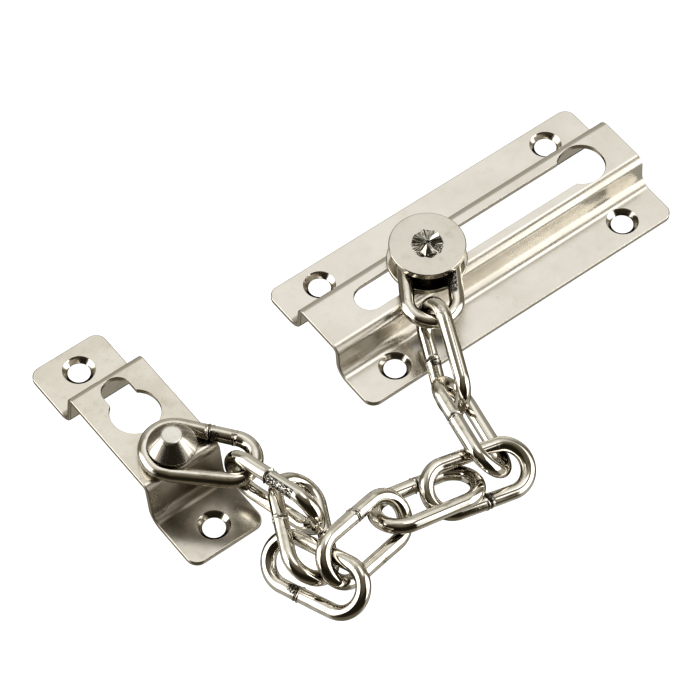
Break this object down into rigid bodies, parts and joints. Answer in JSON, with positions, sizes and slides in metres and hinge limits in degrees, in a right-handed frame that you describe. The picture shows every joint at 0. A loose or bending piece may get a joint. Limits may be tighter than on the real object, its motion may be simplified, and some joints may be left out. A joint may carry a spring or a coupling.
{
  "type": "door chain guard",
  "caption": "Surface-mounted door chain guard: pressed slide plate with a keyhole slot and a running slider, a welded oval-link chain and a pressed keeper plate.",
  "frame": {"origin": "centre of the slide plate's footprint on its back face, which is also the centre of its four screw holes", "axes": "+X along the slot towards the keyhole, +Y across the slide plate away from the chain's lay, +Z out of the door"},
  "size_m": [0.1304, 0.0885, 0.0188],
  "materials": {
    "satin_nickel": "satin nickel plate",
    "polished_nickel": "polished nickel plate",
    "bright_nickel": "bright nickel plate"
  },
  "bodies": {
    "slide_plate": {"slide_plate": "satin_nickel"},
    "slider": {"slider_washer": "polished_nickel"},
    "slider_head": {"slider_stud": "bright_nickel", "slider_cap": "polished_nickel"},
    "link_01": {"link_01": "bright_nickel"},
    "link_02": {"link_02": "bright_nickel"},
    "link_03": {"link_03": "bright_nickel"},
    "link_04": {"link_04": "bright_nickel"},
    "link_05": {"link_05": "bright_nickel"},
    "link_06": {"link_06": "bright_nickel"},
    "link_07": {"link_07": "bright_nickel"},
    "link_08": {"link_08": "bright_nickel"},
    "link_09": {"link_09": "bright_nickel"},
    "link_10": {"link_10": "bright_nickel"},
    "keeper": {"keeper_plate": "satin_nickel", "keeper_rivet": "bright_nickel"}
  },
  "joints": [
    {"name": "slider_slide", "type": "slide", "parent": "slide_plate", "child": "slider", "axis": [1, 0, 0], "range_m": [-0.0145, 0.03]},
    {"name": "slider_spin", "type": "hinge", "parent": "slider", "child": "slider_head", "pos_m": [-0.012, 0, 0.0112], "axis": [0, 0, 1], "continuous": true},
    {"name": "chain_swing", "type": "hinge", "parent": "slider", "child": "link_01", "pos_m": [-0.012, 0, 0.0112], "axis": [0, 0, -1], "range_deg": [-45, 9]},
    {"name": "link_02_turn", "type": "hinge", "parent": "link_01", "child": "link_02", "pos_m": [-0.02034, -0.01051, 0.01046], "axis": [-0.2686, 0.1276, -0.9548], "range_deg": [-27, 54]},
    {"name": "link_03_turn", "type": "hinge", "parent": "link_02", "child": "link_03", "pos_m": [-0.02814, -0.02982, 0.00369], "axis": [-0.7486, 0.1662, -0.6419], "range_deg": [-54, 21]},
    {"name": "link_04_turn", "type": "hinge", "parent": "link_03", "child": "link_04", "pos_m": [-0.02612, -0.04309, 0.00564], "axis": [0.7486, -0.1662, 0.6419], "range_deg": [-30, 21]},
    {"name": "link_05_turn", "type": "hinge", "parent": "link_04", "child": "link_05", "pos_m": [-0.04414, -0.04124, 0.00725], "axis": [0.169, 0.2906, 0.9418], "range_deg": [-33, 21]},
    {"name": "link_06_turn", "type": "hinge", "parent": "link_05", "child": "link_06", "pos_m": [-0.05415, -0.04672, 0.00558], "axis": [0.7464, 0.6004, 0.2871], "range_deg": [-18, 57]},
    {"name": "link_07_turn", "type": "hinge", "parent": "link_06", "child": "link_07", "pos_m": [-0.07095, -0.04475, 0.01086], "axis": [-0.2545, 0.6561, -0.7105], "range_deg": [-57, 21]},
    {"name": "link_08_turn", "type": "hinge", "parent": "link_07", "child": "link_08", "pos_m": [-0.07392, -0.03605, 0.00881], "axis": [0.5326, -0.7302, 0.428], "range_deg": [-3, 100]},
    {"name": "link_09_turn", "type": "hinge", "parent": "link_08", "child": "link_09", "pos_m": [-0.06938, -0.03662, 0.00842], "axis": [-0.1518, 0.7588, -0.6334], "range_deg": [-39, 84]},
    {"name": "link_10_turn", "type": "hinge", "parent": "link_09", "child": "link_10", "pos_m": [-0.07269, -0.02134, 0.01235], "axis": [-0.973, -0.231, 0], "range_deg": [-135, 33]},
    {"name": "keeper_turn", "type": "hinge", "parent": "link_10", "child": "keeper", "pos_m": [-0.0816, -0.0079, 0.01235], "axis": [0, 0, 1], "range_deg": [-75, 135]}
  ]
}
